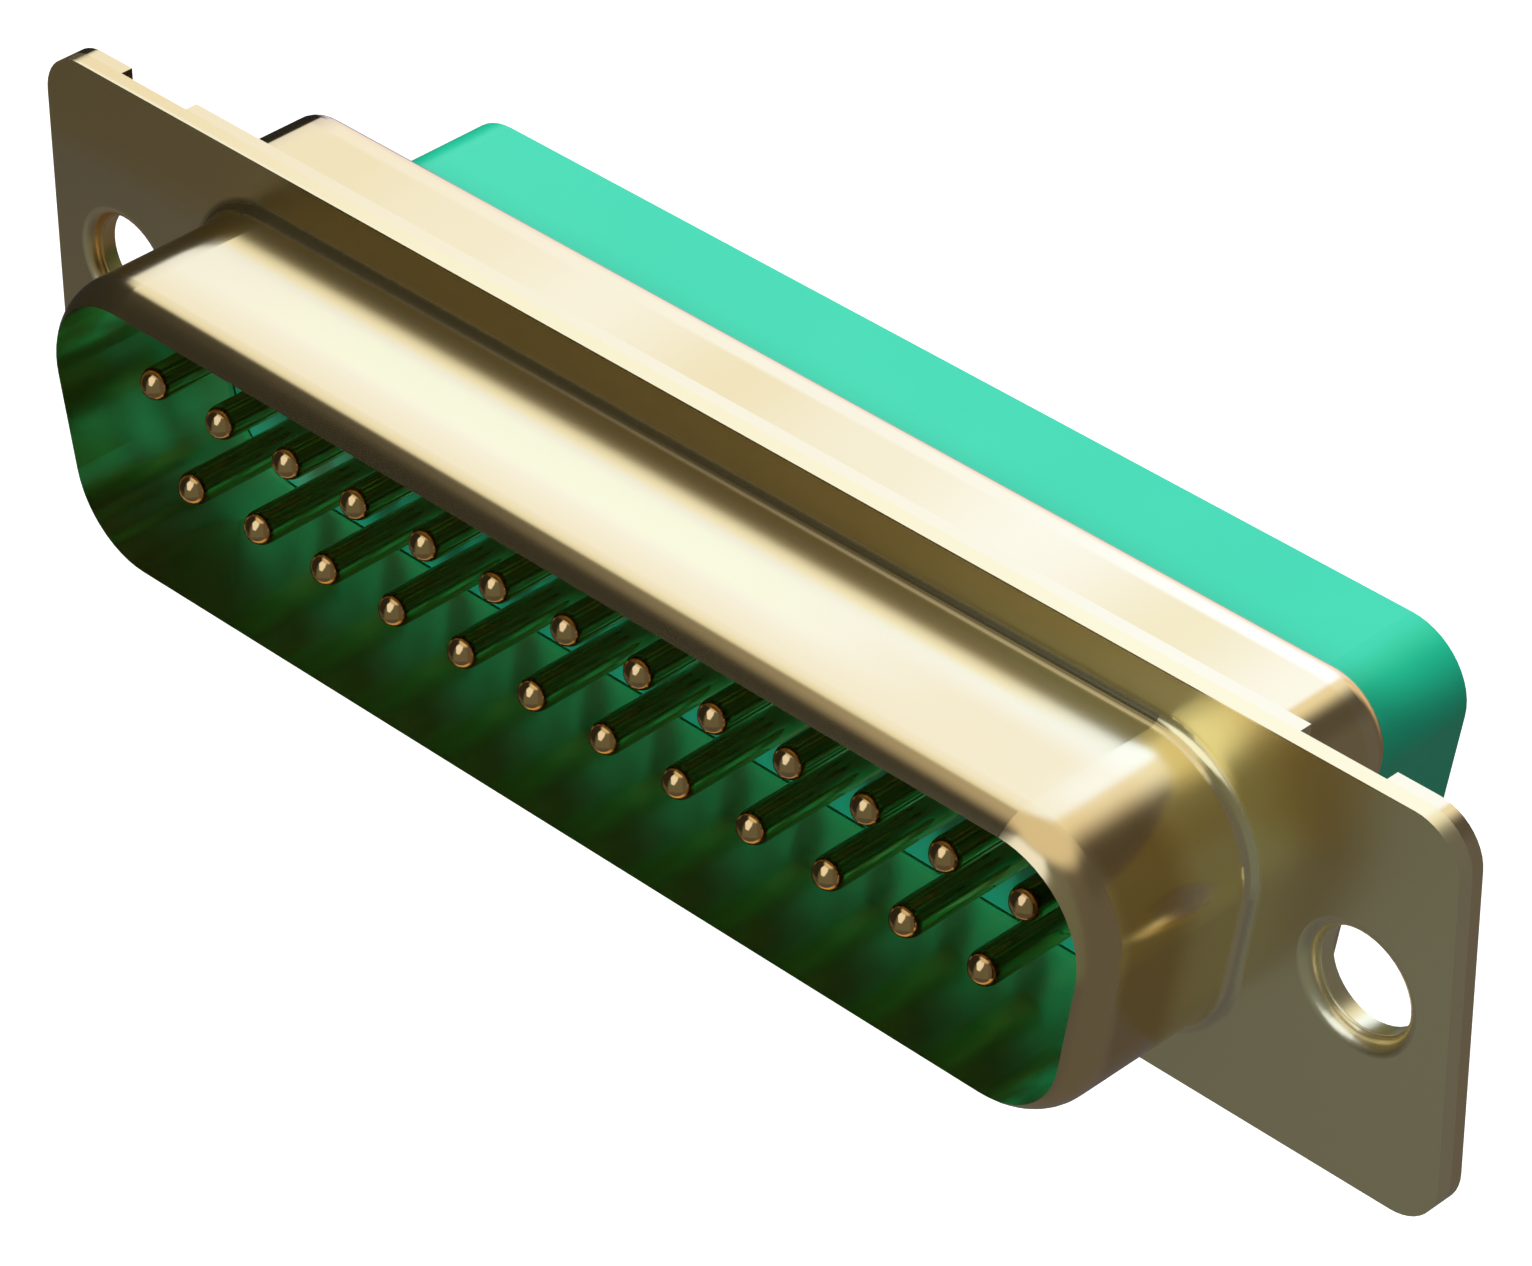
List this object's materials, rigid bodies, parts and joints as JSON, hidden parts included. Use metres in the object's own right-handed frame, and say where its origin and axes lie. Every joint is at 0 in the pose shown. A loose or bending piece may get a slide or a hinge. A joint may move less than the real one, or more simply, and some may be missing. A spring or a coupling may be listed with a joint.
{
  "type": "d-subminiature plug connector",
  "caption": "Two-row D-shaped plug connector: drawn metal shroud and flange with two fixing holes, moulded insulator, crimp pin contacts and retention clips.",
  "frame": {"origin": "midway between the two fixing holes, on the front face of the flange", "axes": "+X along the connector's length, -Y out of the mating shroud, +Z towards the wide side of the D"},
  "size_m": [0.053, 0.0151, 0.0126],
  "materials": {
    "shell_plating": "satin gold-coloured plating over drawn sheet",
    "insulator": "smooth teal moulded thermoplastic",
    "contact_plating": "bright gold plating over turned copper alloy",
    "clip_spring": "bare spring copper alloy"
  },
  "bodies": {
    "root": {"front_shell": "shell_plating", "rear_shell": "shell_plating", "front_insulator": "insulator", "rear_insulator": "insulator", "pin_contact_01": "contact_plating", "pin_contact_02": "contact_plating", "pin_contact_03": "contact_plating", "pin_contact_04": "contact_plating", "pin_contact_05": "contact_plating", "pin_contact_06": "contact_plating", "pin_contact_07": "contact_plating", "pin_contact_08": "contact_plating", "pin_contact_09": "contact_plating", "pin_contact_10": "contact_plating", "pin_contact_11": "contact_plating", "pin_contact_12": "contact_plating", "pin_contact_13": "contact_plating", "pin_contact_14": "contact_plating", "pin_contact_15": "contact_plating", "pin_contact_16": "contact_plating", "pin_contact_17": "contact_plating", "pin_contact_18": "contact_plating", "pin_contact_19": "contact_plating", "pin_contact_20": "contact_plating", "pin_contact_21": "contact_plating", "pin_contact_22": "contact_plating", "pin_contact_23": "contact_plating", "pin_contact_24": "contact_plating", "pin_contact_25": "contact_plating", "retention_clip_01": "clip_spring", "retention_clip_02": "clip_spring", "retention_clip_03": "clip_spring", "retention_clip_04": "clip_spring", "retention_clip_05": "clip_spring", "retention_clip_06": "clip_spring", "retention_clip_07": "clip_spring", "retention_clip_08": "clip_spring", "retention_clip_09": "clip_spring", "retention_clip_10": "clip_spring", "retention_clip_11": "clip_spring", "retention_clip_12": "clip_spring", "retention_clip_13": "clip_spring", "retention_clip_14": "clip_spring", "retention_clip_15": "clip_spring", "retention_clip_16": "clip_spring", "retention_clip_17": "clip_spring", "retention_clip_18": "clip_spring", "retention_clip_19": "clip_spring", "retention_clip_20": "clip_spring", "retention_clip_21": "clip_spring", "retention_clip_22": "clip_spring", "retention_clip_23": "clip_spring", "retention_clip_24": "clip_spring", "retention_clip_25": "clip_spring"}
  },
  "joints": []
}
